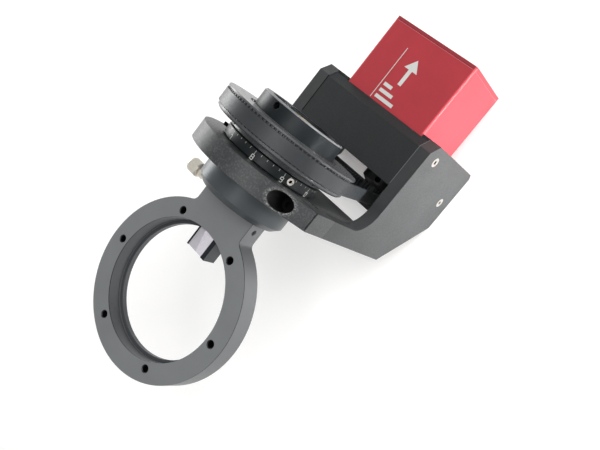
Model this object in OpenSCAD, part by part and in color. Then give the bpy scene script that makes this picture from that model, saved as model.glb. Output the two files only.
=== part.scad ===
// Off-axis guider with a belt-driven helical focuser.
// Origin: centre of the guider plate, mid thickness.
// +Z is the optical axis out of the plate's front face, +Y is the focuser axis.
// Most parts are drawn upright (x across, y towards the motor, z up the focuser)
// and turned into the plate's frame by stand().

/* [Guider plate] */

// Outer diameter of the plate
plate_od = 80; // [72:1:100]
// Plate thickness
plate_t = 10; // [8:0.5:16]
// Diameter of the front register bore
register_d = 62; // [54:0.5:66]
// Clear aperture inside the rear lip
aperture_d = 59; // [48:0.5:62]
// Thickness of the rear lip
lip_t = 2.5; // [1.5:0.1:4]
// Bolt circle of the six threaded holes
bolt_circle_d = 68.3; // [66:0.1:74]
// Number of threaded holes
bolt_count = 6; // [3:1:8]
// Width of the neck that carries the focuser
neck_w = 30; // [24:0.5:36]
// Height of the neck's top face above the bore centre
neck_h = 47.6; // [44:0.1:56]
// Fillet where the neck meets the ring
neck_fillet = 3; // [1:0.5:5]

/* [Prism] */

// Width of the prism stalk
stalk_w = 12; // [10:0.5:14]
// Depth of the prism stalk
stalk_d = 7.6; // [6:0.1:8]
// Height of the prism holder's free end above the bore centre
stalk_tip_h = 20.7; // [16:0.1:26]
// Height of the stalk's inner end
stalk_top_h = 51.5; // [50:0.1:53]
// Edge length of the square prism faces
prism_size = 7.2; // [5:0.1:7.4]
// Height of the thumbscrew that locks the stalk
lock_screw_h = 45.8; // [44:0.1:46]
// Height of the grub screw on the other side of the neck
grub_screw_h = 43.5; // [42:0.1:45]

/* [Focuser] */

// Outer diameter of the fixed focuser base
base_d = 41.8; // [38:0.1:44]
// Height of the base's shoulder
base_top_h = 68.2; // [66:0.1:70]
// Bore for the guide camera nosepiece (1.25 inch)
nose_d = 31.8; // [31.75:0.01:32]
// Outer diameter of the draw tube below its head
tube_d = 35.3; // [35:0.1:35.3]
// Outer diameter of the draw tube's head
head_d = 39.4; // [38:0.1:41]
// Underside of the draw tube's head
head_h = 85.3; // [85.1:0.1:86.5]
// Top of the draw tube
tube_top_h = 92.7; // [91:0.1:96]
// Lower end of the draw tube
tube_bottom_h = 55; // [54.5:0.1:56]
// Diameter of the scale ring
scale_d = 45.6; // [44:0.1:48]

/* [Belt drive] */

// Teeth on the focuser's pulley
ring_teeth = 100; // [90:1:110]
// Teeth on the motor pulley
motor_teeth = 20; // [16:1:24]
// Belt tooth pitch
belt_pitch = 2; // [2:1:3]
// Belt width
belt_w = 6; // [5:0.5:9]
// Lower edge of the belt
belt_h = 77.75; // [77.7:0.05:78]
// Motor shaft position across the bracket
shaft_x = 9; // [5:0.1:12]
// Motor shaft position behind the focuser axis
shaft_y = 70.85; // [68:0.05:74]

/* [Bracket] */

// Outer diameter of the clamp ring
clamp_d = 64; // [58:0.5:68]
// Underside of the clamp ring
clamp_h = 59.6; // [58:0.1:61]
// Width over the two cheeks
bracket_w = 72; // [70:0.5:76]
// Thickness of each cheek
cheek_t = 6; // [5:0.5:6]
// Front face of the cheeks and front panel
panel_y = 37.9; // [36:0.1:40]
// Top of the cheeks
cheek_top_h = 118; // [112:0.5:124]
// Underside of the motor cradle
cradle_h = 91.5; // [91.4:0.1:93]

/* [Motor box] */

// Width of the motor box
box_w = 48.4; // [46:0.1:48.4]
// Depth of the motor box
box_d = 39.7; // [38:0.1:42]
// Top of the motor box
box_top_h = 153.9; // [145:0.1:160]
// Wall thickness of the motor box
box_wall = 2.2; // [1.5:0.1:3]

/* [Hidden] */

$fn = 72;
eps = 0.01;
plate_r = plate_od / 2;
half_t = plate_t / 2;
register_r = register_d / 2;
screw_fn = 24;
m2_r = 1;
m25_r = 1.25;
m3_r = 1.5;
stalk_gap = 0.1;
floor_h = 53.6;
base_r = base_d / 2;
spigot_r = 19.4;
spigot_top_h = 73.6;
bore_r = tube_d / 2 + 0.1;
snap_h = 71.05;
snap_t = 0.7;
sleeve_r = 20.6;
sleeve_bottom_h = 68.4;
sleeve_top_h = 84.9;
scale_top_h = 73.2;
key_h = 66;
key_slot_top_h = 67.6;
clamp_groove_h = 90.2;
pitch_r = ring_teeth * belt_pitch / PI / 2;
motor_pitch_r = motor_teeth * belt_pitch / PI / 2;
pitch_line = 0.254;
belt_back = 0.376;
tooth_h = 0.75;
mesh_gap = 0.05;
centre_dist = norm([shaft_x, shaft_y]);
drive_angle = atan2(shaft_y, shaft_x);
wrap_tilt = asin((pitch_r - motor_pitch_r) / centre_dist);
span = centre_dist * cos(wrap_tilt);
ring_arc = (90 + wrap_tilt) * PI / 180 * pitch_r;
motor_arc = (90 - wrap_tilt) * PI / 180 * motor_pitch_r;
belt_teeth = 2 * round((ring_arc + span + motor_arc) / belt_pitch);
hub_h = 73.4;
hub_r = 22.6;
web_h = 75.7;
web_r = 30.6;
rim_h = 76.4;
band_h = 77.4;
band_top_h = 84.6;
pulley_top_h = 85.4;
top_rim_r = 32.2;
clamp_r = clamp_d / 2;
slab_top_h = base_top_h;
slab_back_y = 50;
slit_y = -6.6;
slit_w = 0.6;
clamp_screw_x = 26.6;
clamp_screw_h = 63.9;
clamp_seat_y = -9;
clamp_hole_r = 3.7;
nut_y = 2;
nut_t = 2.4;
half_w = bracket_w / 2;
inner_w = half_w - cheek_t;
cheek_back_y = 92.3;
cheek_foot_y = 66.6;
cheek_front_y = 9;
cheek_chamfer = 5;
wall_y = 80;
wall_t = 4;
wall_top_h = 83.8;
cheek_screws_yh = [[48, 111.4], [82.2, 98.5]];
panel_t = 4.9;
cradle_floor_t = 2.9;
box_x = 1.2;
box_y = panel_y + panel_t;
box_bottom_h = cradle_h + cradle_floor_t;
plate2_t = 2;
cap_t = 1.7;
box_cy = box_y + box_d / 2;
shell_bottom_h = box_bottom_h + plate2_t;
shell_top_h = box_top_h - cap_t;
gear_top_h = 108.4;
motor_top_h = 128.4;
board_h = 136;
board_t = 1.6;
mount_dx = 13;
mount_dy = 12.2;
corner_dx = box_w / 2 - 4.6;
corner_dy = box_d / 2 - 4.6;

// Turns an upright part (z up the focuser axis) into the plate's frame.
module stand() {
    rotate([-90, 0, 0]) children();
}

// Ring with inner and outer radius between two heights.
module ring(r_out, r_in, h0, h1) {
    translate([0, 0, h0]) difference() {
        cylinder(h = h1 - h0, r = r_out);
        translate([0, 0, -1]) cylinder(h = h1 - h0 + 2, r = r_in);
    }
}

// Cylinder lying along +x from x0 to x1.
module rod_x(r, x0, x1) {
    translate([x0, 0, 0]) rotate([0, 90, 0]) cylinder(h = x1 - x0, r = r, $fn = screw_fn);
}

// Cylinder lying along +y from y0 to y1.
module rod_y(r, y0, y1) {
    translate([0, y0, 0]) rotate([-90, 0, 0]) cylinder(h = y1 - y0, r = r, $fn = screw_fn);
}

// Grub screw along +x with a hexagon socket at its outer end.
module grub_x(r, x0, x1) {
    difference() {
        rod_x(r, x0, x1);
        translate([x1 - 1.2, 0, 0]) rotate([0, 90, 0]) cylinder(h = 2, r = r * 0.55, $fn = 6);
    }
}

// Cap or flat head screw along +z, head at the top.
module cap_screw(r, head_r, head_t, len) {
    difference() {
        union() {
            cylinder(h = head_t, r = head_r, $fn = screw_fn);
            translate([0, 0, -len]) cylinder(h = len + eps, r = r, $fn = screw_fn);
        }
        translate([0, 0, head_t * 0.45]) cylinder(h = head_t, r = head_r * 0.5, $fn = 6);
    }
}

// Countersunk screw along +z, flat face at z = 0.
module flat_screw(r, head_r, len) {
    difference() {
        union() {
            translate([0, 0, -len]) cylinder(h = len, r = r, $fn = screw_fn);
            translate([0, 0, r - head_r]) cylinder(h = head_r - r, r1 = r, r2 = head_r, $fn = screw_fn);
        }
        translate([0, 0, -0.9]) cylinder(h = 2, r = head_r * 0.45, $fn = 6);
    }
}

// Hole that fits flat_screw().
module flat_hole(r, head_r, len) {
    translate([0, 0, -len]) cylinder(h = len + 1, r = r, $fn = screw_fn);
    translate([0, 0, r - head_r]) cylinder(h = head_r - r, r1 = r, r2 = head_r, $fn = screw_fn);
    cylinder(h = 1, r = head_r, $fn = screw_fn);
}

// Rounded rectangle centred on the motor box.
module box_outline(w, d, r) {
    translate([box_x, box_cy]) offset(r) square([w - 2 * r, d - 2 * r], center = true);
}

module box_corners() {
    for (sx = [-1, 1]) {
        for (sy = [-1, 1]) {
            translate([box_x + sx * corner_dx, box_cy + sy * corner_dy, 0]) children();
        }
    }
}

module mount_points() {
    for (sx = [-1, 1]) {
        for (sy = [-1, 1]) {
            translate([box_x + sx * mount_dx, box_cy + sy * mount_dy, 0]) children();
        }
    }
}

// ---- guider plate ----

module neck_outline() {
    fillet_x = neck_w / 2 + neck_fillet;
    fillet_h = sqrt(pow(plate_r + neck_fillet, 2) - pow(fillet_x, 2));
    for (s = [-1, 1]) {
        difference() {
            polygon([
                [s * (neck_w / 2 - 1), fillet_h - neck_fillet - 2],
                [s * (neck_w / 2 - 1), fillet_h],
                [s * fillet_x, fillet_h],
                [s * fillet_x, fillet_h] * plate_r / (plate_r + neck_fillet),
                [s * neck_w / 2, fillet_h - neck_fillet - 2]
            ]);
            translate([s * fillet_x, fillet_h]) circle(neck_fillet);
        }
    }
    translate([-neck_w / 2, plate_r - 8]) square([neck_w, neck_h - plate_r + 8]);
}

module guider_plate() {
    color("#74787a") difference() {
        union() {
            cylinder(h = plate_t, r = plate_r, center = true, $fn = 120);
            translate([0, 0, -half_t]) linear_extrude(plate_t) neck_outline();
        }
        translate([0, 0, -half_t - 1]) cylinder(h = plate_t + 2, r = aperture_d / 2, $fn = 96);
        translate([0, 0, lip_t - half_t]) cylinder(h = plate_t, r = register_r, $fn = 96);
        translate([0, 0, lip_t - half_t]) cylinder(h = 1, r = register_r + 0.8, $fn = 96);
        for (i = [0 : bolt_count - 1]) {
            rotate([0, 0, 30 + i * 360 / bolt_count]) translate([0, bolt_circle_d / 2, 0]) {
                translate([0, 0, half_t - 7]) cylinder(h = 8, r = m3_r, $fn = screw_fn);
                translate([0, 0, half_t - 0.4])
                    cylinder(h = 0.41, r1 = m3_r, r2 = m3_r + 0.4, $fn = screw_fn);
            }
        }
        translate([-stalk_w / 2 - stalk_gap, 26, -stalk_d / 2 - stalk_gap])
            cube([stalk_w + 2 * stalk_gap, 30, stalk_d + 2 * stalk_gap]);
        translate([0, lock_screw_h, 0]) rod_x(m25_r, -neck_w / 2 - 1, 0);
        translate([0, grub_screw_h, 0]) rod_x(m25_r, 0, neck_w / 2 + 1);
        for (sx = [-1, 1]) {
            for (sz = [-1, 1]) {
                translate([sx * 10.5, neck_h - 7, sz * 3.2]) rotate([-90, 0, 0])
                    cylinder(h = 8, r = m2_r, $fn = screw_fn);
            }
        }
    }
}

// ---- prism and stalk ----

module prism_stalk() {
    wall_h = stalk_tip_h + 10.5;
    color("#3c3f42") stand() difference() {
        union() {
            translate([-stalk_w / 2, -stalk_d / 2, wall_h]) cube([stalk_w, stalk_d, stalk_top_h - wall_h]);
            translate([-stalk_w / 2, -stalk_d / 2, stalk_tip_h]) cube([0.8, stalk_d, 10.6]);
            translate([stalk_w / 2 - 2.2, -stalk_d / 2, stalk_tip_h]) cube([2.2, stalk_d, 10.6]);
        }
        translate([0, 0, stalk_tip_h]) cylinder(h = 40, r = 3.1, $fn = 36);
    }
}

module prism() {
    prism_w = stalk_w - 3;
    low = stalk_tip_h + 0.2;
    top = stalk_tip_h + 10.5;
    edge = prism_size / 2;
    color("#e8e2ee") stand() translate([-stalk_w / 2 + 0.8, 0, 0]) rotate([90, 0, 90])
        linear_extrude(prism_w)
            polygon([[-edge, top], [edge, top], [edge, low + prism_size], [-edge, low]]);
}

module stalk_set_screw() {
    color("#2c2e30") stand() translate([0, 0, grub_screw_h])
        grub_x(m25_r, stalk_w / 2 + 0.1, stalk_w / 2 + 6);
}

module thumbscrew() {
    head_x = 26;
    head_len = 7.4;
    head_r = 3.4;
    color("#d9d4c6") stand() translate([0, 0, lock_screw_h]) rotate([0, -90, 0]) {
        translate([0, 0, stalk_w / 2 + 0.1])
            cylinder(h = head_x - stalk_w / 2, r = m25_r - 0.05, $fn = screw_fn);
        translate([0, 0, head_x - 2.6]) cylinder(h = 1.8, r = 2.3, $fn = screw_fn);
        difference() {
            translate([0, 0, head_x]) rotate_extrude($fn = 40) polygon([
                [0, 0], [head_r - 0.7, 0], [head_r, 0.7], [head_r, head_len - 2],
                [head_r - 0.5, head_len - 1], [head_r - 1.5, head_len - 0.3], [0, head_len]
            ]);
            for (i = [0 : 23]) {
                rotate([0, 0, i * 15]) translate([head_r + 0.15, 0, head_x - 1])
                    cylinder(h = head_len + 2, r = 0.32, $fn = 8);
            }
        }
    }
}

// ---- focuser ----

module focuser_base() {
    color("#787c7e") stand() difference() {
        rotate_extrude($fn = 96) polygon([
            [0, neck_h], [base_r - 2.6, neck_h], [base_r, neck_h + 2.6], [base_r, base_top_h],
            [spigot_r, base_top_h], [spigot_r, snap_h - 0.05], [spigot_r - 0.5, snap_h - 0.05],
            [spigot_r - 0.5, snap_h + snap_t + 0.05], [spigot_r, snap_h + snap_t + 0.05],
            [spigot_r, spigot_top_h], [bore_r, spigot_top_h], [bore_r, floor_h], [0, floor_h]
        ]);
        translate([-stalk_w / 2 - 0.3, -stalk_d / 2 - 0.3, neck_h - 1])
            cube([stalk_w + 0.6, stalk_d + 0.6, floor_h - neck_h + 2]);
        for (sx = [-1, 1]) {
            for (sy = [-1, 1]) {
                translate([sx * 10.5, sy * 3.2, neck_h - 1]) cylinder(h = 8, r = m2_r + 0.1, $fn = screw_fn);
                translate([sx * 10.5, sy * 3.2, floor_h - 2]) cylinder(h = 3, r = 2, $fn = screw_fn);
            }
        }
        translate([0, 0, key_h]) rod_y(m25_r, bore_r - 1, base_r + 1);
    }
}

module base_screws() {
    color("#3a3d40") stand() for (sx = [-1, 1]) {
        for (sy = [-1, 1]) {
            translate([sx * 10.5, sy * 3.2, floor_h - 2]) cap_screw(m2_r, 1.9, 1.9, 10);
        }
    }
}

module guide_key() {
    color("#b8babc") stand() translate([0, 0, key_h]) rod_y(m25_r, 16.65, base_r - 0.1);
}

module retaining_ring() {
    color("#8f9396") stand() difference() {
        ring(20, spigot_r - 0.45, snap_h, snap_h + snap_t);
        translate([-2, 10, snap_h - 1]) cube([4, 20, 3]);
    }
}

module helicoid_sleeve() {
    color("#2f3133") stand() rotate_extrude($fn = 96) polygon([
        [spigot_r + 0.08, sleeve_bottom_h], [sleeve_r, sleeve_bottom_h], [sleeve_r, sleeve_top_h],
        [bore_r, sleeve_top_h], [bore_r, spigot_top_h + 0.3], [spigot_r + 0.08, spigot_top_h + 0.3],
        [spigot_r + 0.08, snap_h + snap_t + 0.15], [20.15, snap_h + snap_t + 0.15],
        [20.15, snap_h - 0.15], [spigot_r + 0.08, snap_h - 0.15]
    ]);
}

module scale_ring() {
    color("#35383a") stand() difference() {
        rotate_extrude($fn = 96) polygon([
            [sleeve_r, sleeve_bottom_h], [scale_d / 2 - 0.4, sleeve_bottom_h],
            [scale_d / 2, sleeve_bottom_h + 0.4], [scale_d / 2, scale_top_h - 0.5],
            [scale_d / 2 - 0.5, scale_top_h], [sleeve_r, scale_top_h]
        ]);
        translate([0, 0, 70.8]) rotate([0, 0, -27.6]) rod_x(m3_r, sleeve_r - 1, scale_d / 2 + 1);
        translate([0, 0, 70.8]) rotate([0, 0, 215]) rod_x(0.8, sleeve_r - 1, scale_d / 2 + 1);
    }
}

module scale_lock_screw() {
    color("#c9c6bf") stand() translate([0, 0, 70.8]) rotate([0, 0, -27.6])
        grub_x(m3_r, sleeve_r, scale_d / 2 + 0.15);
}

module index_pin() {
    color("#1c1d1e") stand() translate([0, 0, 70.8]) rotate([0, 0, 215]) rod_x(0.8, sleeve_r, 24.6);
}

// ---- draw tube ----

module draw_tube() {
    head_r = head_d / 2;
    color("#2b2d30") stand() difference() {
        rotate_extrude($fn = 96) polygon([
            [nose_d / 2, tube_bottom_h], [tube_d / 2, tube_bottom_h], [tube_d / 2, head_h],
            [head_r, head_h], [head_r, tube_top_h - 0.6], [head_r - 0.6, tube_top_h],
            [nose_d / 2, tube_top_h], [nose_d / 2, clamp_groove_h + 1.2], [16.9, clamp_groove_h + 1.2],
            [16.9, clamp_groove_h - 1.2], [nose_d / 2, clamp_groove_h - 1.2]
        ]);
        translate([-1.35, 16.55, tube_bottom_h - 1]) cube([2.7, 3, key_slot_top_h - tube_bottom_h + 1]);
        for (i = [0 : 2]) {
            translate([0, 0, clamp_groove_h]) rotate([0, 0, 269 + i * 120]) rod_x(m3_r, 15, head_r + 1);
        }
    }
}

module compression_ring() {
    color("#c29a4a") stand() difference() {
        ring(16.8, nose_d / 2, clamp_groove_h - 1.1, clamp_groove_h + 1.1);
        translate([10, -1.5, clamp_groove_h - 2]) cube([10, 3, 4]);
    }
}

module tube_set_screws() {
    color("#2c2e30") stand() for (i = [0 : 2]) {
        translate([0, 0, clamp_groove_h]) rotate([0, 0, 269 + i * 120]) grub_x(m3_r, 16.85, 18.3);
    }
}

// ---- belt drive ----

// One rounded belt tooth (or pulley groove) around the origin, pointing to -y.
function tooth(w, depth) = [
    [-w, 0], [-w * 0.86, -depth * 0.55], [-w * 0.45, -depth],
    [w * 0.45, -depth], [w * 0.86, -depth * 0.55], [w, 0]
];

// Points of a pulley: teeth lie between the grooves, first groove at angle a0.
function pulley_points(n, r, a0) = [
    for (i = [0 : n - 1]) for (p = tooth(0.62, tooth_h + 0.08))
        let (a = a0 - i * 360 / n - p[0] / r * 180 / PI)
        (r + p[1]) * [cos(a), sin(a)]
];

// Belt path: position and heading at a distance along the pitch line,
// measured from the far side of the focuser pulley.
function belt_at(s) =
    let (total = belt_teeth * belt_pitch, half = total / 2)
    s > half ? let (q = belt_half(total - s)) [[q[0][0], -q[0][1]], [q[1][0], -q[1][1]]] : belt_half(s);

// First half of the path, in a frame whose x axis points at the motor pulley.
function belt_half(s) =
    let (stretch = (belt_teeth * belt_pitch / 2 - ring_arc - motor_arc) / span)
    s < ring_arc ? let (a = 180 - s / pitch_r * 180 / PI)
        [pitch_r * [cos(a), sin(a)], [cos(a), sin(a)]] :
    s < ring_arc + span * stretch ? let (a = 90 - wrap_tilt, t = (s - ring_arc) / stretch)
        [pitch_r * [cos(a), sin(a)] + t * [sin(a), -cos(a)], [cos(a), sin(a)]] :
    let (a = 90 - wrap_tilt - (s - ring_arc - span * stretch) / motor_pitch_r * 180 / PI)
        [[centre_dist, 0] + motor_pitch_r * [cos(a), sin(a)], [cos(a), sin(a)]];

// Point offset outwards from the pitch line.
function belt_point(s, off) = let (q = belt_at(s)) q[0] + off * q[1];

module timing_belt() {
    inner = [
        for (i = [0 : belt_teeth - 1]) for (p = tooth(0.5, tooth_h - 0.05))
            belt_point(i * belt_pitch + 1 + p[0], -pitch_line + p[1])
    ];
    outer = [for (i = [0 : 2 * belt_teeth - 1]) belt_point((i + 0.5) * belt_pitch / 2, belt_back)];
    color("#303336") stand() translate([0, 0, belt_h]) rotate([0, 0, drive_angle])
        linear_extrude(belt_w) difference() {
            polygon(outer);
            polygon(inner);
        }
}

module drive_pulley() {
    rim_r = pitch_r - pitch_line - mesh_gap - 0.1;
    color("#3a3d40") stand() difference() {
        union() {
            ring(hub_r, 10, hub_h, web_h + eps);
            translate([0, 0, web_h]) cylinder(h = rim_h - web_h, r1 = web_r, r2 = rim_r, $fn = 96);
            translate([0, 0, rim_h - eps]) cylinder(h = band_h - rim_h + 2 * eps, r = rim_r, $fn = 96);
            translate([0, 0, band_h]) linear_extrude(band_top_h - band_h)
                polygon(pulley_points(ring_teeth, pitch_r - pitch_line - mesh_gap, drive_angle + 180 - 1.8));
            translate([0, 0, band_top_h - eps])
                cylinder(h = pulley_top_h - band_top_h + eps, r = top_rim_r, $fn = 96);
        }
        translate([0, 0, hub_h - 1]) cylinder(h = 20, r = sleeve_r, $fn = 96);
        ring(sleeve_r + 1.3, sleeve_r + 0.4, pulley_top_h - 0.8, pulley_top_h + 1);
        for (i = [0 : 2]) {
            translate([0, 0, 74.6]) rotate([0, 0, i * 120]) rod_x(0.8, sleeve_r - 1, hub_r + 1);
        }
    }
}

module pulley_set_screws() {
    color("#2c2e30") stand() for (i = [0 : 2]) {
        translate([0, 0, 74.6]) rotate([0, 0, i * 120]) grub_x(0.8, sleeve_r, hub_r - 0.1);
    }
}

module motor_pulley() {
    color("#3c3e40") stand() translate([shaft_x, shaft_y, 0]) difference() {
        union() {
            translate([0, 0, 76.6]) cylinder(h = 0.9, r = 8, $fn = 48);
            translate([0, 0, 77.4]) linear_extrude(7.8)
                polygon(pulley_points(motor_teeth, motor_pitch_r - pitch_line - mesh_gap, drive_angle + 9));
            translate([0, 0, 85.2 - eps]) cylinder(h = 1.6 + eps, r1 = 6.3, r2 = 8.6, $fn = 48);
            translate([0, 0, 86.8 - eps]) cylinder(h = 4.3, r = 8.6, $fn = 48);
        }
        translate([0, 0, 76]) cylinder(h = 16, r = 3, $fn = 36);
        for (a = [0, 90]) {
            translate([0, 0, 89]) rotate([0, 0, a + 200]) rod_x(m3_r, 2, 10);
        }
    }
}

module motor_pulley_screws() {
    color("#2c2e30") stand() translate([shaft_x, shaft_y, 89]) for (a = [0, 90]) {
        rotate([0, 0, a + 200]) grub_x(m3_r, 3.05, 8.2);
    }
}

module output_shaft() {
    color("#c4c6c8") stand() translate([shaft_x, shaft_y, 0]) difference() {
        translate([0, 0, 76.2]) cylinder(h = 27.8, r = 3, $fn = 36);
        rotate([0, 0, 200]) translate([2.95, -3, 76]) cube([2, 6, 15]);
    }
}

// ---- clamp bracket ----

// Side view of one cheek (x towards the motor, y up).
module cheek_profile() {
    fillet = 11;
    polygon([
        [cheek_front_y, clamp_h], [cheek_foot_y, clamp_h],
        [cheek_back_y, clamp_h + cheek_back_y - cheek_foot_y],
        [cheek_back_y, cheek_top_h - 2], [cheek_back_y - 2, cheek_top_h],
        [panel_y + cheek_chamfer, cheek_top_h], [panel_y, cheek_top_h - cheek_chamfer],
        [panel_y, slab_top_h], [cheek_front_y, slab_top_h]
    ]);
    difference() {
        translate([panel_y - fillet, slab_top_h - eps]) square([fillet + eps, fillet + eps]);
        translate([panel_y - fillet, slab_top_h + fillet]) circle(fillet, $fn = 96);
    }
}

// Top view of the clamp ring and the slab between the cheeks.
module clamp_outline() {
    tangent_a = -38.3;
    difference() {
        union() {
            circle(clamp_r, $fn = 120);
            polygon([
                clamp_r * [cos(tangent_a), sin(tangent_a)], [half_w, -6], [half_w, cheek_front_y],
                [inner_w, cheek_front_y], [inner_w, slab_back_y], [-inner_w, slab_back_y],
                [-inner_w, cheek_front_y], [-half_w, cheek_front_y], [-half_w, 8], [-clamp_r, 0], [0, 0]
            ]);
        }
        circle(base_r + 0.03, $fn = 96);
        translate([base_r - 1, slit_y]) square([20, slit_w]);
        for (s = [-1, 1]) {
            translate([s > 0 ? inner_w : -half_w - 1, cheek_front_y]) square([cheek_t + 1, 60]);
        }
    }
}

module clamp_bracket() {
    color("#4c4c4b") stand() difference() {
        translate([0, 0, clamp_h]) linear_extrude(slab_top_h - clamp_h) clamp_outline();
        translate([clamp_screw_x, 0, clamp_screw_h]) {
            rod_y(clamp_hole_r, -40, clamp_seat_y);
            rod_y(m3_r + 0.1, clamp_seat_y - 1, cheek_front_y);
        }
        translate([clamp_screw_x - 2.85, nut_y - 0.1, clamp_screw_h - 3.2]) cube([5.7, nut_t + 0.2, 10]);
    }
}

module bracket_cheeks() {
    wall_foot_h = clamp_h + wall_y - cheek_foot_y;
    color("#4c4c4b") stand() difference() {
        union() {
            for (s = [-1, 1]) {
                translate([s > 0 ? inner_w : -half_w, 0, 0]) rotate([90, 0, 90])
                    linear_extrude(cheek_t) cheek_profile();
            }
            translate([-inner_w - eps, 0, 0]) rotate([90, 0, 90])
                linear_extrude(2 * (inner_w + eps)) polygon([
                    [wall_y, wall_foot_h], [wall_y + wall_t, wall_foot_h + wall_t],
                    [wall_y + wall_t, wall_top_h], [wall_y, wall_top_h]
                ]);
        }
        for (s = [-1, 1]) {
            for (p = cheek_screws_yh) {
                translate([s * half_w, p[0], p[1]]) rotate([0, s * 90, 0]) flat_hole(m25_r, 2.3, 14);
            }
        }
    }
}

module clamp_screw() {
    color("#2c2e30") stand() translate([clamp_screw_x, clamp_seat_y, clamp_screw_h]) rotate([90, 0, 0])
        cap_screw(m3_r, 2.75, 3, 18);
}

module clamp_nut() {
    color("#b4b6b8") stand() translate([clamp_screw_x, nut_y, clamp_screw_h]) rotate([-90, 0, 0])
        difference() {
            rotate([0, 0, 30]) cylinder(h = nut_t, r = 2.75 / cos(30), $fn = 6);
            translate([0, 0, -1]) cylinder(h = nut_t + 2, r = m3_r, $fn = screw_fn);
        }
}

module motor_cradle() {
    panel_top_h = cheek_top_h - 1.5;
    color("#343738") stand() difference() {
        union() {
            translate([-inner_w, 0, 0]) rotate([90, 0, 90]) linear_extrude(2 * inner_w) polygon([
                [panel_y, cradle_h], [84, cradle_h], [84, box_bottom_h], [box_y, box_bottom_h],
                [box_y, panel_top_h], [panel_y + 4, panel_top_h], [panel_y, panel_top_h - 4]
            ]);
            for (s = [-1, 1]) {
                translate([s > 0 ? box_x + box_w / 2 : -inner_w, box_y - eps, cradle_h])
                    cube([inner_w - box_w / 2 - s * box_x, 84 - box_y + eps, cheek_top_h - cradle_h]);
            }
        }
        translate([shaft_x, shaft_y, cradle_h - 1]) cylinder(h = 6, r = 3.6, $fn = 36);
        mount_points() {
            translate([0, 0, cradle_h]) mirror([0, 0, 1]) flat_hole(m3_r, 2.9, 6);
        }
        for (s = [-1, 1]) {
            for (p = cheek_screws_yh) {
                translate([s * half_w, p[0], p[1]]) rotate([0, s * 90, 0])
                    translate([0, 0, -10]) cylinder(h = 10, r = m25_r, $fn = screw_fn);
            }
        }
    }
}

module cheek_screws() {
    color("#d8d6d0") stand() for (s = [-1, 1]) {
        for (p = cheek_screws_yh) {
            translate([s * half_w, p[0], p[1]]) rotate([0, s * 90, 0]) flat_screw(m25_r, 2.3, 10);
        }
    }
}

// ---- motor box ----

module motor_case() {
    color("#b03a44") stand() {
        translate([0, 0, shell_bottom_h]) linear_extrude(shell_top_h - shell_bottom_h) difference() {
            box_outline(box_w, box_d, 1.2);
            box_outline(box_w - 2 * box_wall, box_d - 2 * box_wall, 0.4);
        }
        box_corners() {
            difference() {
                translate([-2.6, -2.6, shell_top_h - 12]) cube([5.2, 5.2, 12]);
                translate([0, 0, shell_top_h - 9]) cylinder(h = 10, r = m2_r, $fn = screw_fn);
            }
        }
    }
}

module gear_plate() {
    color("#4a4d50") stand() translate([0, 0, box_bottom_h]) difference() {
        linear_extrude(plate2_t) box_outline(box_w, box_d, 1.2);
        translate([shaft_x, shaft_y, -1]) cylinder(h = 4, r = 3.6, $fn = 36);
        mount_points() {
            translate([0, 0, -1]) cylinder(h = 4, r = m3_r + 0.1, $fn = screw_fn);
        }
    }
}

module mount_screws() {
    color("#3a3d40") stand() mount_points() {
        translate([0, 0, cradle_h]) mirror([0, 0, 1]) flat_screw(m3_r, 2.9, 9.5);
    }
}

module end_cap() {
    color("#a83640") stand() difference() {
        translate([0, 0, shell_top_h]) linear_extrude(cap_t) box_outline(box_w, box_d, 1.2);
        translate([-16, box_cy - 6.2, shell_top_h - 1]) cube([12.4, 12.4, 4]);
        translate([4.5, box_cy, shell_top_h - 1]) cylinder(h = 4, r = 4.7, $fn = 36);
        translate([10.6, box_cy - 5.7, shell_top_h - 1]) cube([11, 11.4, 4]);
        box_corners() {
            translate([0, 0, box_top_h]) flat_hole(m2_r, 1.9, 4);
        }
    }
}

module cap_screws() {
    color("#3a3d40") stand() box_corners() {
        translate([0, 0, box_top_h]) flat_screw(m2_r, 1.9, 8);
    }
}

module gearbox() {
    color("#8b8e91") stand() difference() {
        translate([0, 0, shell_bottom_h]) linear_extrude(gear_top_h - shell_bottom_h) box_outline(33, 31, 3);
        translate([shaft_x, shaft_y, shell_bottom_h - 1]) cylinder(h = 9, r = 3.05, $fn = 36);
        mount_points() {
            translate([0, 0, shell_bottom_h - 1]) cylinder(h = 6, r = m3_r, $fn = screw_fn);
        }
    }
}

module stepper_motor() {
    color("#9a9da0") stand() translate([box_x, box_cy, gear_top_h]) {
        cylinder(h = motor_top_h - gear_top_h, r = 16.5);
        cylinder(h = motor_top_h - gear_top_h + 2, r = 5, $fn = 36);
    }
}

module board_posts() {
    color("#b59a5a") stand() for (sx = [-1, 1]) {
        for (sy = [-1, 1]) {
            translate([box_x + sx * 10, box_cy + sy * 10, motor_top_h])
                cylinder(h = board_h - motor_top_h, r = 2, $fn = 6);
        }
    }
}

module circuit_board() {
    color("#1f5a3a") stand() {
        translate([box_x - 20.5, box_cy - 16.2, board_h]) cube([41, 32.4, board_t]);
        translate([box_x - 6, box_cy - 14, board_h - 1.6]) cube([9, 3.5, 1.61]);
        translate([box_x - 4, box_cy - 4, board_h - 1.4]) cube([8, 8, 1.41]);
    }
}

module usb_socket() {
    color("#c8cacc") stand() difference() {
        translate([-15.8, box_cy - 6, board_h + board_t]) cube([12, 12, 15.9]);
        translate([-14.8, box_cy - 4.9, board_h + board_t + 8]) difference() {
            cube([10, 9.8, 10]);
            translate([2.2, 3.2, -1]) cube([5.6, 3.4, 8]);
        }
    }
}

module power_jack() {
    color("#26282a") stand() translate([4.5, box_cy, board_h + board_t]) {
        difference() {
            cylinder(h = 15.9, r = 4.5, $fn = 36);
            translate([0, 0, 7]) cylinder(h = 10, r = 2.75, $fn = 36);
        }
        cylinder(h = 14, r = 1, $fn = screw_fn);
    }
}

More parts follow.
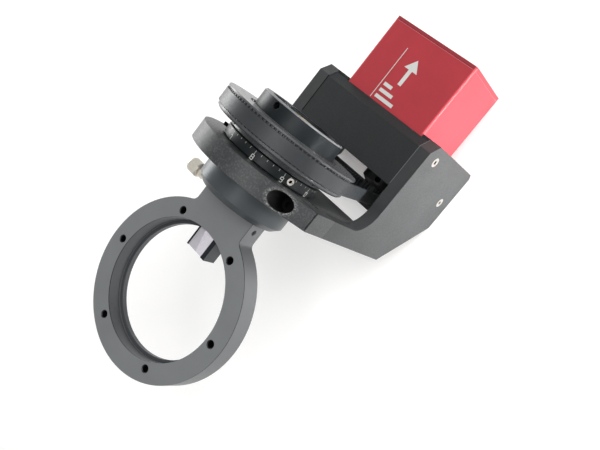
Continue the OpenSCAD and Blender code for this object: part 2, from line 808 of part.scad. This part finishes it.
module handset_socket() {
    color("#26282a") stand() difference() {
        translate([10.8, box_cy - 5.5, board_h + board_t]) cube([10.6, 11, 15.9]);
        translate([12, box_cy - 4, board_h + board_t + 6]) cube([8.2, 8, 10]);
    }
}

guider_plate();
prism_stalk();
prism();
stalk_set_screw();
thumbscrew();
focuser_base();
base_screws();
guide_key();
retaining_ring();
helicoid_sleeve();
scale_ring();
scale_lock_screw();
index_pin();
draw_tube();
compression_ring();
tube_set_screws();
timing_belt();
drive_pulley();
pulley_set_screws();
motor_pulley();
motor_pulley_screws();
output_shaft();
clamp_bracket();
bracket_cheeks();
clamp_screw();
clamp_nut();
motor_cradle();
cheek_screws();
motor_case();
gear_plate();
mount_screws();
end_cap();
cap_screws();
gearbox();
stepper_motor();
board_posts();
circuit_board();
usb_socket();
power_jack();
handset_socket();
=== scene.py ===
"""Looks for the off-axis guider: materials, printed marks, stage, lights and camera."""

import math

import bpy
from mathutils import Matrix, Vector


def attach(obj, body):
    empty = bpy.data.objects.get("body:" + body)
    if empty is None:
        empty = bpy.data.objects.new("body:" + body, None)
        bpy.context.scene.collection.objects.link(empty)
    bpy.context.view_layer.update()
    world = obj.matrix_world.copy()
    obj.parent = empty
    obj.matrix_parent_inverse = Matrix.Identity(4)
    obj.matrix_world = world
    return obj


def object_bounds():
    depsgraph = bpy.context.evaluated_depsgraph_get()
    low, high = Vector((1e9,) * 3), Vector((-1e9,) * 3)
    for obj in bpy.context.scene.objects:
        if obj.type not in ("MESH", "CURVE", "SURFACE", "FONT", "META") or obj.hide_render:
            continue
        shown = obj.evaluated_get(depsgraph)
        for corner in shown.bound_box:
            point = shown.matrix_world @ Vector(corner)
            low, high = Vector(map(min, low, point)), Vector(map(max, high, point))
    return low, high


MM = 0.001

# Sizes of the CAD in millimetres. Depth runs along -Z and height along +Y.
PLATE_FRONT_Z = 5.0
PLATE_BORE_R = 31.0
BOLT_CIRCLE_R = 34.15
BOLT_HOLE_R = 1.5
CLAMP_HOLE = (26.6, 63.9)
CLAMP_HOLE_R = 3.7
RING_R = 22.8
TUBE_R, TUBE_TOP = 19.7, 92.7
PANEL_FRONT = 37.9
CHEEK_INSIDE, CHEEK_OUTSIDE = 30.0, 36.0
CHEEK_SCREWS = ((48, 111.4), (82.2, 98.5))
BOX_FRONT, BOX_BACK = 42.8, 82.5
BOX_LEFT, BOX_RIGHT = -23.0, 25.4
LID_FOOT = 152.2

# How far a mark stands off the face under it, in millimetres.
LIFT = 0.03
THIN_LIFT = 0.02

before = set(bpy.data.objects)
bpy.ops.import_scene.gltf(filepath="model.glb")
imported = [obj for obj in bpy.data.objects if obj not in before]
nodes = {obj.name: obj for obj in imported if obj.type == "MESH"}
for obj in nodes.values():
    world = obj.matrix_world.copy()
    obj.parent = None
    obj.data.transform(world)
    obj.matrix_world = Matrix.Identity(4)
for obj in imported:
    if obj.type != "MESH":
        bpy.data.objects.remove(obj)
cad_low, cad_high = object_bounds()


# ---------- material helpers ----------


def new_material(name):
    mat = bpy.data.materials.new(name)
    mat.use_nodes = True
    tree = mat.node_tree
    return mat, tree, tree.nodes["Principled BSDF"]


def coords(tree):
    """Object coordinates in metres."""
    return tree.nodes.new("ShaderNodeTexCoord").outputs["Object"]


def lean(tree, axis):
    """One component of the surface's own direction."""
    facing = tree.nodes.new("ShaderNodeTexCoord").outputs["Normal"]
    return component(tree, facing, axis)


def component(tree, vector, axis):
    """One of the X, Y and Z parts of a vector."""
    node = tree.nodes.new("ShaderNodeSeparateXYZ")
    tree.links.new(vector, node.inputs["Vector"])
    return node.outputs[axis]


def noise(tree, vector, scale, detail):
    """Cloudy pattern, mostly 0.3 to 0.7, scale in lumps per metre."""
    node = tree.nodes.new("ShaderNodeTexNoise")
    node.inputs["Scale"].default_value = scale
    node.inputs["Detail"].default_value = detail
    node.inputs["Roughness"].default_value = 0.55
    tree.links.new(vector, node.inputs["Vector"])
    return node.outputs["Fac"]


def spread(tree, value, low, high):
    """Maps noise (mostly 0.3 to 0.7) to low..high."""
    node = tree.nodes.new("ShaderNodeMapRange")
    node.inputs["From Min"].default_value = 0.3
    node.inputs["From Max"].default_value = 0.7
    node.inputs["To Min"].default_value = low
    node.inputs["To Max"].default_value = high
    tree.links.new(value, node.inputs["Value"])
    return node.outputs["Result"]


def tint(tree, value, dark, light):
    """Colour ramp between two colours."""
    node = tree.nodes.new("ShaderNodeValToRGB")
    node.color_ramp.elements[0].position = 0.3
    node.color_ramp.elements[0].color = (*dark, 1)
    node.color_ramp.elements[1].position = 0.7
    node.color_ramp.elements[1].color = (*light, 1)
    tree.links.new(value, node.inputs["Fac"])
    return node.outputs["Color"]


def bump(tree, height, strength, distance, normal):
    """Relief of the given depth (m) laid over a normal."""
    node = tree.nodes.new("ShaderNodeBump")
    node.inputs["Strength"].default_value = strength
    node.inputs["Distance"].default_value = distance
    tree.links.new(height, node.inputs["Height"])
    tree.links.new(normal, node.inputs["Normal"])
    return node.outputs["Normal"]


def rounded(tree, radius):
    """Normal that softens sharp edges."""
    node = tree.nodes.new("ShaderNodeBevel")
    node.samples = 4
    node.inputs["Radius"].default_value = radius
    return node.outputs["Normal"]


def shade(color, gain):
    """The colour, darker or lighter."""
    return tuple(min(1.0, c * gain) for c in color)


def surface(
    name,
    color,
    metallic,
    roughness,
    wander,
    mottle,
    grain_scale,
    grain,
    grain_depth=0.00003,
    edge=0.0002,
    specular=0.5,
):
    """A finish with uneven colour and roughness, fine grain and softened edges."""
    mat, tree, shader = new_material(name)
    place = coords(tree)
    broad = noise(tree, place, 60, 3)
    fine = noise(tree, place, grain_scale, 2)
    tree.links.new(
        tint(tree, broad, shade(color, 1 - mottle), shade(color, 1 + mottle)),
        shader.inputs["Base Color"],
    )
    tree.links.new(
        spread(tree, fine, roughness - wander, roughness + wander),
        shader.inputs["Roughness"],
    )
    shader.inputs["Metallic"].default_value = metallic
    shader.inputs["Specular IOR Level"].default_value = specular
    normal = rounded(tree, edge)
    tree.links.new(bump(tree, fine, grain, grain_depth, normal), shader.inputs["Normal"])
    return mat


def printed(name, color, layer, roughness, depth=0.00006, speckle=0.0):
    """Fused plastic, fine layers (m) stacked along the focuser axis (+Y), paler specks."""
    mat, tree, shader = new_material(name)
    place = coords(tree)
    wave = tree.nodes.new("ShaderNodeTexWave")
    wave.wave_type = "BANDS"
    wave.bands_direction = "Y"
    wave.inputs["Scale"].default_value = 0.314 / layer
    wave.inputs["Distortion"].default_value = 0.6
    wave.inputs["Detail"].default_value = 1.0
    wave.inputs["Detail Scale"].default_value = 2.0
    tree.links.new(place, wave.inputs["Vector"])
    broad = noise(tree, place, 90, 4)
    fine = noise(tree, place, 2600, 3)
    tree.links.new(
        tint(tree, broad, shade(color, 0.85), shade(color, 1.2)),
        shader.inputs["Base Color"],
    )
    tree.links.new(
        spread(tree, fine, roughness - 0.12, roughness + 0.1),
        shader.inputs["Roughness"],
    )
    shader.inputs["Specular IOR Level"].default_value = 0.45
    if speckle:
        dots = noise(tree, place, 1300, 2)
        overpaint(mat, spread(tree, dots, -speckle, speckle), shade(color, 3.0))
    soft = rounded(tree, 0.0003)
    grainy = bump(tree, fine, 0.35, 0.00005, soft)
    tree.links.new(
        bump(tree, wave.outputs["Fac"], 0.35, depth, grainy), shader.inputs["Normal"]
    )
    return mat


def step(tree, value, low, high):
    """Goes from 0 at low to 1 at high, and low may be the larger."""
    node = tree.nodes.new("ShaderNodeMapRange")
    node.inputs["From Min"].default_value = low
    node.inputs["From Max"].default_value = high
    tree.links.new(value, node.inputs["Value"])
    return node.outputs["Result"]


def product(tree, first, second):
    """Two masks multiplied."""
    node = tree.nodes.new("ShaderNodeMath")
    node.operation = "MULTIPLY"
    node.use_clamp = True
    tree.links.new(first, node.inputs[0])
    tree.links.new(second, node.inputs[1])
    return node.outputs["Value"]


def from_axis(tree, place, x, y):
    """Distance (m) from the line along Z through x, y (mm)."""
    offset = tree.nodes.new("ShaderNodeVectorMath")
    offset.operation = "SUBTRACT"
    offset.inputs[1].default_value = (x * MM, y * MM, 0)
    tree.links.new(place, offset.inputs[0])
    flat = tree.nodes.new("ShaderNodeVectorMath")
    flat.operation = "MULTIPLY"
    flat.inputs[1].default_value = (1, 1, 0)
    tree.links.new(offset.outputs["Vector"], flat.inputs[0])
    length = tree.nodes.new("ShaderNodeVectorMath")
    length.operation = "LENGTH"
    tree.links.new(flat.outputs["Vector"], length.inputs[0])
    return length.outputs["Value"]


def overpaint(mat, mask, color):
    """Lays a colour over the base colour where the mask is 1."""
    tree = mat.node_tree
    socket = tree.nodes["Principled BSDF"].inputs["Base Color"]
    mix = tree.nodes.new("ShaderNodeMix")
    mix.data_type = "RGBA"
    tree.links.new(mask, mix.inputs[0])
    tree.links.new(socket.links[0].from_socket, mix.inputs[6])
    mix.inputs[7].default_value = (*color, 1)
    tree.links.new(mix.outputs[2], socket)


def clamp_hole_painted_shade(mat):
    """Paints shade into the deep hole along Z in the clamp and speckles a pale ring round it.
    """
    tree = mat.node_tree
    place = coords(tree)
    away = from_axis(tree, place, *CLAMP_HOLE)
    wall, lip, rim = ((CLAMP_HOLE_R + clear) * MM for clear in (0.01, 0.11, 1.41))
    ring = product(tree, step(tree, away, wall, lip), step(tree, away, rim, wall))
    dots = spread(tree, noise(tree, place, 1800, 3), -0.9, 1.2)
    overpaint(mat, product(tree, ring, dots), (0.3, 0.3, 0.3))
    # Painted shade: the hole's wall is blackened.
    overpaint(mat, step(tree, away, lip, wall), (0.003, 0.003, 0.003))


def painted_lit_sides(mat):
    """Painted light: lightens the faces that look along X."""
    tree = mat.node_tree
    for sign in (-1, 1):
        side = step(tree, lean(tree, "X"), sign * 0.6, sign * 0.8)
        # Painted light on the sides that face along X.
        overpaint(mat, side, (0.085, 0.092, 0.097))


def plate_painted_shade(mat):
    """Painted shade: darker sides, blackened bore and screw holes, and a dark line round the
    front edge.
    """
    tree = mat.node_tree
    place = coords(tree)
    up = lean(tree, "Z")
    # Painted shade: faces that do not look forward are darkened.
    overpaint(mat, step(tree, up, 0.6, 0.4), (0.145, 0.152, 0.157))
    away = from_axis(tree, place, 0, 0)
    # Painted shade in the bore.
    bore = step(tree, away, (PLATE_BORE_R + 0.1) * MM, (PLATE_BORE_R + 0.02) * MM)
    overpaint(mat, bore, (0.072, 0.077, 0.083))
    height = component(tree, place, "Z")
    # Painted shade: a dark line on the chamfer round the front edge.
    rim = step(tree, height, (PLATE_FRONT_Z - 0.55) * MM, (PLATE_FRONT_Z - 0.48) * MM)
    overpaint(mat, product(tree, rim, step(tree, up, 0.97, 0.9)), (0.02, 0.022, 0.025))
    for i in range(6):
        angle = math.radians(120 + 60 * i)
        away = from_axis(
            tree, place, BOLT_CIRCLE_R * math.cos(angle), BOLT_CIRCLE_R * math.sin(angle)
        )
        # Painted shade in each of the six screw holes.
        hole = step(tree, away, (BOLT_HOLE_R + 0.2) * MM, (BOLT_HOLE_R + 0.05) * MM)
        overpaint(mat, hole, (0.004, 0.004, 0.004))


def clear_glass(name, color):
    """Glass that lets half of the light through, with a faint uneven tint."""
    mat, tree, shader = new_material(name)
    place = coords(tree)
    broad = noise(tree, place, 120, 2)
    tree.links.new(
        tint(tree, broad, shade(color, 0.93), color), shader.inputs["Base Color"]
    )
    tree.links.new(spread(tree, broad, 0.03, 0.08), shader.inputs["Roughness"])
    shader.inputs["IOR"].default_value = 1.52
    shader.inputs["Transmission Weight"].default_value = 0.55
    return mat


# ---------- finishes ----------

GREY = surface("grey anodised", (0.188, 0.197, 0.203), 0.3, 0.42, 0.06, 0.05, 4000, 0.1)
# Painted shade: a darker copy of the grey anodised stands in for the shadow the clamp ring
# casts on the focuser base.
BASE = surface("base anodised painted shade", (0.056, 0.064, 0.069), 0.35, 0.36, 0.05, 0.1, 3500, 0.08)
BLACK, STALK = (
    surface(name, (0.010, 0.013, 0.015), 0.05, 0.36, 0.06, 0.15, 4000, 0.08, specular=0.22)
    for name in ("black anodised", "prism stalk")
)
SCALE = surface(
    "scale ring", (0.007, 0.010, 0.011), 0.05, 0.34, 0.06, 0.1, 4000, 0.08, specular=0.3
)
PRINT = printed("printed bracket", (0.029, 0.031, 0.032), 0.00022, 0.4, speckle=0.6)
CHEEK = printed("printed cheeks", (0.024, 0.026, 0.027), 0.00022, 0.5)
PRINT_FINE = printed("printed pulley", (0.052, 0.055, 0.058), 0.00018, 0.3, 0.00003)
# Painted shade: the cradle is part of the same print as the bracket, made darker to stand in
# for the shade on it.
CRADLE = printed("printed cradle painted shade", (0.004, 0.006, 0.007), 0.0002, 0.6, 0.00004)
RED, RED_LID = (
    surface(name, color, 0.12, 0.5, 0.06, 0.06, 3500, 0.06, edge=0.00015, specular=0.4)
    for name, color in (
        ("red anodised", (0.365, 0.026, 0.036)),
        ("red anodised lid", (0.26, 0.02, 0.03)),
    )
)
# Painted highlight: a lighter red for the lit edge of the motor box under its lid.
RED_EDGE = surface("red painted edge highlight", (0.75, 0.17, 0.19), 0.2, 0.45, 0.06, 0.06, 3500, 0.06)
BELT = surface("belt", (0.020, 0.023, 0.026), 0.0, 0.42, 0.1, 0.12, 1800, 0.3, 0.00004)
STEEL = surface(
    "nickel plated steel", (0.62, 0.59, 0.55), 1.0, 0.32, 0.08, 0.1, 1500, 0.2, edge=0.0001
)
THUMB = surface(
    "knurled nickel", (0.74, 0.70, 0.62), 0.6, 0.4, 0.08, 0.18, 2600, 0.5, 0.00006, 0.0001
)
OXIDE = surface(
    "black oxide steel", (0.003, 0.003, 0.0035), 0.0, 0.7, 0.08, 0.1, 2500, 0.15, specular=0.04
)
DARK = surface("black pulley", (0.014, 0.016, 0.017), 0.2, 0.5, 0.08, 0.15, 2500, 0.1)
BRASS = surface("brass", (0.70, 0.50, 0.20), 1.0, 0.3, 0.08, 0.08, 2500, 0.1)
CAN = surface("plated motor", (0.50, 0.50, 0.51), 0.9, 0.4, 0.08, 0.08, 2500, 0.15)
DARK_METAL = surface("dark plate", (0.05, 0.054, 0.056), 0.3, 0.5, 0.08, 0.1, 2500, 0.15)
BOARD = surface("solder mask", (0.02, 0.13, 0.06), 0.0, 0.35, 0.06, 0.15, 900, 0.2)
SOCKET = surface("moulded socket", (0.02, 0.02, 0.022), 0.0, 0.35, 0.06, 0.1, 2500, 0.1)
GLASS = clear_glass("prism glass", (0.90, 0.86, 0.93))
PAINT = surface("silver paint", (0.56, 0.56, 0.54), 0.1, 0.5, 0.08, 0.06, 2500, 0.1)
# Painted highlight for the lit edge of the cradle by the right cheek.
EDGE = surface("painted edge highlight", (0.16, 0.165, 0.17), 0.2, 0.4, 0.08, 0.06, 2500, 0.1)
BEVEL = surface("turned bevel", (0.19, 0.20, 0.21), 0.3, 0.35, 0.08, 0.06, 2500, 0.1)
clamp_hole_painted_shade(PRINT)
plate_painted_shade(GREY)
# Painted light on the prism stalk's sides.
painted_lit_sides(STALK)

FINISHES = {
    GREY: ["guider_plate"],
    BASE: ["focuser_base"],
    BLACK: ["helicoid_sleeve", "draw_tube"],
    STALK: ["prism_stalk"],
    SCALE: ["scale_ring"],
    GLASS: ["prism"],
    PRINT: ["clamp_bracket"],
    CHEEK: ["bracket_cheeks"],
    PRINT_FINE: ["drive_pulley"],
    CRADLE: ["motor_cradle"],
    RED: ["motor_case"],
    RED_LID: ["end_cap"],
    BELT: ["timing_belt"],
    DARK: ["motor_pulley"],
    THUMB: ["thumbscrew"],
    STEEL: [
        "guide_key",
        "retaining_ring",
        "scale_lock_screw",
        "output_shaft",
        "clamp_nut",
        "cheek_screws",
        "usb_socket",
    ],
    OXIDE: [
        "stalk_set_screw",
        "base_screws",
        "tube_set_screws",
        "pulley_set_screws",
        "motor_pulley_screws",
        "clamp_screw",
        "mount_screws",
        "cap_screws",
        "index_pin",
    ],
    BRASS: ["compression_ring", "board_posts"],
    CAN: ["gearbox", "stepper_motor"],
    DARK_METAL: ["gear_plate"],
    BOARD: ["circuit_board"],
    SOCKET: ["power_jack", "handset_socket"],
}

for finish, names in FINISHES.items():
    for name in names:
        mesh = nodes[name].data
        mesh.materials.clear()
        mesh.materials.append(finish)


# ---------- marks ----------


def upright(x, depth, height):
    """Row-frame position (m) of a point given across, depth and height (mm)."""
    return Vector((x, height, -depth)) * MM


def sheet(name, body, patches, material):
    """One object from flat patches, riding on a body."""
    mesh = bpy.data.meshes.new(name)
    points, faces = [], []
    for patch in patches:
        first = len(points)
        points.extend(patch)
        faces.append(tuple(range(first, first + len(patch))))
    mesh.from_pydata(points, [], faces)
    mesh.materials.append(material)
    obj = bpy.data.objects.new(name, mesh)
    bpy.context.scene.collection.objects.link(obj)
    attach(obj, body)


def bar(start, end, width):
    """Corners of a straight bar between two points of a plane."""
    a, b = Vector(start), Vector(end)
    side = (b - a).normalized().orthogonal() * width / 2
    return [a - side, b - side, b + side, a + side]


# Strokes of the numerals in a box 1 wide and 2 high.
STROKES = {
    "top": ((0, 2), (1, 2)),
    "middle": ((0, 1), (1, 1)),
    "bottom": ((0, 0), (1, 0)),
    "upper left": ((0, 1), (0, 2)),
    "upper right": ((1, 1), (1, 2)),
    "lower left": ((0, 0), (0, 1)),
    "lower right": ((1, 0), (1, 1)),
}
NUMERALS = [
    ["top", "bottom", "upper left", "upper right", "lower left", "lower right"],
    ["upper right", "lower right"],
    ["top", "middle", "bottom", "upper right", "lower left"],
    ["top", "middle", "bottom", "upper right", "lower right"],
    ["middle", "upper left", "upper right", "lower right"],
    ["top", "middle", "bottom", "upper left", "lower right"],
    ["top", "middle", "bottom", "upper left", "lower left", "lower right"],
    ["top", "upper right", "lower right"],
    list(STROKES),
    ["top", "middle", "bottom", "upper left", "upper right", "lower right"],
]


def ladder(points):
    """Four-cornered patches between neighbouring pairs of points."""
    return [[a0, b0, b1, a1] for (a0, b0), (a1, b1) in zip(points, points[1:])]


def hexagon(radius):
    """Corners of a hexagon socket, across and up."""
    return [
        (radius * math.cos(angle), radius * math.sin(angle))
        for angle in (math.radians(60 * k) for k in range(6))
    ]


def scale_marks():
    """Ten numerals and fifty ticks round the scale ring, zero near its lock screw."""
    ticks, ticks_per_numeral = 50, 5
    top, foot = 72.6, 68.6
    radius = RING_R + LIFT
    zero = math.radians(-1.0)
    bars = []
    for i in range(ticks):
        along = i * 2 * math.pi * radius / ticks
        whole = i % ticks_per_numeral == 0
        bars.append(bar((along, top - (1.7 if whole else 0.8)), (along, top), 0.18))
        if whole:
            for stroke in NUMERALS[i // ticks_per_numeral]:
                ends = [(along - 0.55 + x * 1.1, foot + y) for x, y in STROKES[stroke]]
                bars.append(bar(*ends, 0.28))
    patches = []
    for corners in bars:
        patch = []
        for along, height in corners:
            angle = zero + along / radius
            patch.append(upright(radius * math.cos(angle), radius * math.sin(angle), height))
        patches.append(patch)
    sheet("scale_marks", "focus_ring", patches, PAINT)


def box_marks():
    """A plain arrow along the drive, three bars and a line on the motor box's front."""
    depth = BOX_FRONT - LIFT
    line_x, bars_x, arrow_x = -8.0, -6.4, 0.4
    foot, neck, tip = 128.4, 136.5, 142.0
    bars = [bar((line_x, 117), (line_x, 144), 0.35)]
    for height, length in ((119, 11), (122.2, 8), (125.4, 5)):
        bars.append(bar((bars_x, height), (bars_x + length, height), 1.7))
    bars.append(bar((arrow_x, foot), (arrow_x, neck), 2.0))
    bars.append([(arrow_x - 3.8, neck), (arrow_x + 3.8, neck), (arrow_x, tip)])
    patches = [[upright(x, depth, height) for x, height in corners] for corners in bars]
    sheet("box_marks", "guider", patches, PAINT)


def socket_shade_sheets():
    """Painted shade: dark hexagons in the sockets of the bright screws."""
    sunk = CHEEK_OUTSIDE - 0.25
    patches = []
    for x in (-sunk, sunk):
        for depth, height in CHEEK_SCREWS:
            patches.append([upright(x, depth + a, height + b) for a, b in hexagon(0.85)])
    # Painted shade in the cheek screws' sockets.
    sheet("socket_shade_sheets", "guider", patches, OXIDE)
    # Painted shade in the scale lock screw's socket.
    radius, angle, middle = RING_R - 0.2, math.radians(-27.6), 70.8
    out, along = math.cos(angle), math.sin(angle)
    patch = [
        upright(radius * out - a * along, radius * along + a * out, middle + b)
        for a, b in hexagon(0.82)
    ]
    sheet("ring_socket_shade", "focus_ring", [patch], OXIDE)


def cheek_seams():
    """Painted highlight on the edge of the cradle by the right cheek, and painted shade in the
    crease by the left one.
    """
    depth = PANEL_FRONT - LIFT
    path = [(depth, 92.5), (depth, 113.0), (42.2, 117.4)]
    near, far = CHEEK_INSIDE - 0.18, CHEEK_INSIDE + 0.02
    bright = [(upright(near, *place), upright(far, *place)) for place in path]
    # Painted highlight along the right seam.
    sheet("seam_highlight", "guider", ladder(bright), EDGE)
    near, far = 0.4 - CHEEK_INSIDE, -0.05 - CHEEK_INSIDE
    dark = [(upright(far, *place), upright(near, *place)) for place in path[:2]]
    # Painted shade in the crease by the left cheek.
    sheet("left_seam_shade", "guider", ladder(dark), OXIDE)


def lid_seam():
    """Painted highlight on the edge of the motor box under its lid, and the dark gap above it.
    """
    under, line, over = LID_FOOT - 0.22, LID_FOOT - 0.06, LID_FOOT + 0.1
    front, back = BOX_FRONT + 1.3, BOX_BACK - 1.3
    left, right, face = BOX_LEFT - THIN_LIFT, BOX_RIGHT + THIN_LIFT, BOX_FRONT - THIN_LIFT
    sides = (
        ((BOX_LEFT + 1.2, face), (BOX_RIGHT - 1.2, face)),
        ((right, front), (right, back)),
        ((left, back), (left, front)),
    )
    # The first band is a painted highlight on the box's edge, the second the dark line of the
    # joint.
    bands = (("lid_edge_highlight", under, line, RED_EDGE), ("lid_gap", line, over, OXIDE))
    for name, low, high, material in bands:
        patches = []
        for start, end in sides:
            patches += ladder([(upright(*start, h), upright(*end, h)) for h in (low, high)])
        sheet(name, "guider", patches, material)


def tube_bevel():
    """Bright turned bevel at the mouth of the draw tube."""
    steps = 96
    mouth = (TUBE_R - 0.58, TUBE_TOP + 0.01), (TUBE_R + THIN_LIFT, TUBE_TOP - 0.6)
    points = []
    for i in range(steps + 1):
        angle = math.radians(i * 360 / steps)
        points.append([
            upright(radius * math.cos(angle), radius * math.sin(angle), height)
            for radius, height in mouth
        ])
    sheet("tube_bevel", "eyepiece_tube", ladder(points), BEVEL)


scale_marks()
box_marks()
socket_shade_sheets()
cheek_seams()
lid_seam()
tube_bevel()


# ---------- camera ----------


def aim(target, distance, azimuth, elevation, roll):
    """Camera matrix: looks at target, then turns by roll about its own axis."""
    a, e = math.radians(azimuth), math.radians(elevation)
    back = Vector((math.sin(a) * math.cos(e), -math.cos(a) * math.cos(e), math.sin(e)))
    turn = (-back).to_track_quat("-Z", "Y").to_matrix().to_4x4()
    spin = Matrix.Rotation(math.radians(roll), 4, "Z")
    return Matrix.Translation(target + back * distance) @ turn @ spin


camera = bpy.data.objects.new("camera", bpy.data.cameras.new("camera"))
bpy.context.scene.collection.objects.link(camera)
camera.data.sensor_width = 36
camera.data.lens = 42.05
camera.data.clip_start = 0.01
camera.data.clip_end = 10
camera.matrix_world = aim(Vector((17.8, 55.2, -20.7)) * MM, 0.3, 109.2, 59.4, -68.1)
bpy.context.scene.camera = camera


# ---------- stage ----------


def floor(height, size):
    """A square sheet of pale paper under the object."""
    mesh = bpy.data.meshes.new("floor")
    half = size / 2
    corners = [(-half, -half), (half, -half), (half, half), (-half, half)]
    mesh.from_pydata([(x, y, height) for x, y in corners], [], [(0, 1, 2, 3)])
    obj = bpy.data.objects.new("floor", mesh)
    bpy.context.scene.collection.objects.link(obj)
    paper = surface("paper", (0.86, 0.855, 0.85), 0.0, 0.8, 0.05, 0.01, 800, 0.02, 0.00002)
    shader = paper.node_tree.nodes["Principled BSDF"]
    shader.inputs["Emission Color"].default_value = (1, 0.995, 0.985, 1)
    shader.inputs["Emission Strength"].default_value = 0.2
    mesh.materials.append(paper)


def area_light(name, position, target, size, power, color, beam=180):
    """A rectangular lamp at position that looks at target, with its beam in degrees."""
    data = bpy.data.lights.new(name, "AREA")
    data.shape = "RECTANGLE"
    data.size, data.size_y = size
    data.energy = power
    data.spread = math.radians(beam)
    data.color = color
    obj = bpy.data.objects.new(name, data)
    bpy.context.scene.collection.objects.link(obj)
    place, goal = Vector(position), Vector(target)
    obj.location = place
    obj.rotation_mode = "QUATERNION"
    obj.rotation_quaternion = (goal - place).to_track_quat("-Z", "Y")


floor(cad_low.z - 0.4 * MM, 4.0)

world = bpy.data.worlds.new("studio")
bpy.context.scene.world = world
world.use_nodes = True
world.node_tree.nodes["Background"].inputs["Color"].default_value = (1, 1, 1, 1)
world.node_tree.nodes["Background"].inputs["Strength"].default_value = 0.5

CENTRE = (0.0, 0.06, -0.02)
area_light("key", (0.3, 0.55, 0.08), CENTRE, (0.4, 0.4), 2.0, (1.0, 0.99, 0.98))
area_light("left", (-0.8, 0.1, 0.0), CENTRE, (0.5, 0.5), 6.0, (1.0, 1.0, 1.0))
area_light("overhead", (0.3, 0.3, 0.75), CENTRE, (0.6, 0.6), 4.6, (1.0, 1.0, 1.0))
area_light(
    "lamp", (0.40, 0.20, -0.072), (0.03, 0.118, -0.07), (0.1, 0.06), 0.19, (1.0, 0.99, 0.98), 26
)

bpy.context.scene.view_settings.view_transform = "Standard"
